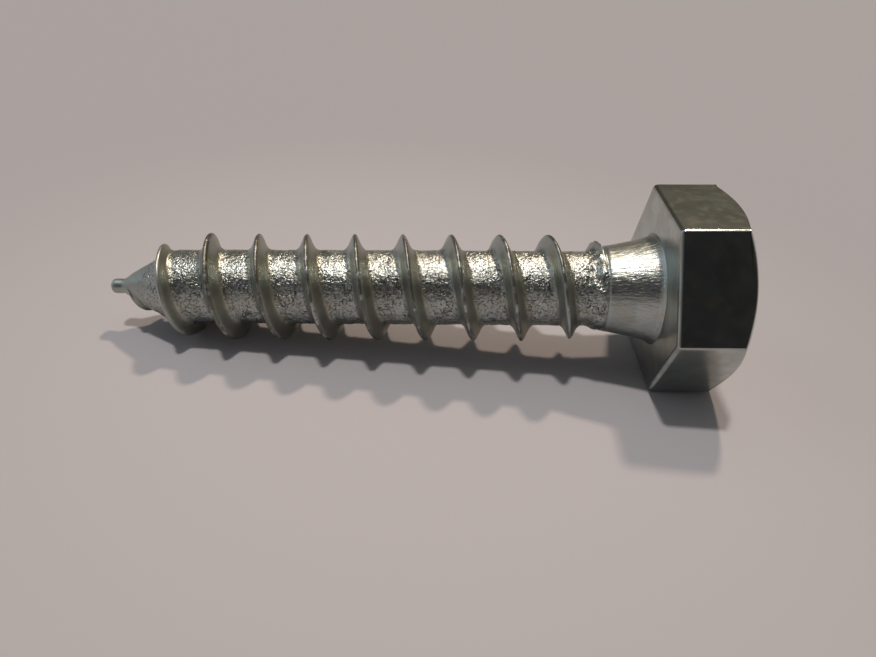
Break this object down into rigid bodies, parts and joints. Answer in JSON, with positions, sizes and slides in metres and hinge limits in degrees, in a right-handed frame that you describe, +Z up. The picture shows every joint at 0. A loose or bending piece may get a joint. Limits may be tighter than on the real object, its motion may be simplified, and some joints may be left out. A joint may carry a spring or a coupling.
{
  "type": "hex head wood screw",
  "caption": "Hexagon head wood screw with a chamfered head, a plain flared neck, a coarse rolled right-hand thread and a blunt nib at the point.",
  "frame": {"origin": "on the floor, below the middle of the bounding box, with the screw lying at rest on one flat of its head and on its thread", "axes": "+X towards the head along the length, the point towards -X and 4.8 degrees lower, +Z up"},
  "size_m": [0.058, 0.0194, 0.0172],
  "materials": {
    "zinc_plated_steel": "thin electroplated zinc on cold forged steel, satin and slightly uneven, a little warm in tint"
  },
  "bodies": {
    "root": {"hex_head_wood_screw": "zinc_plated_steel"}
  },
  "joints": []
}
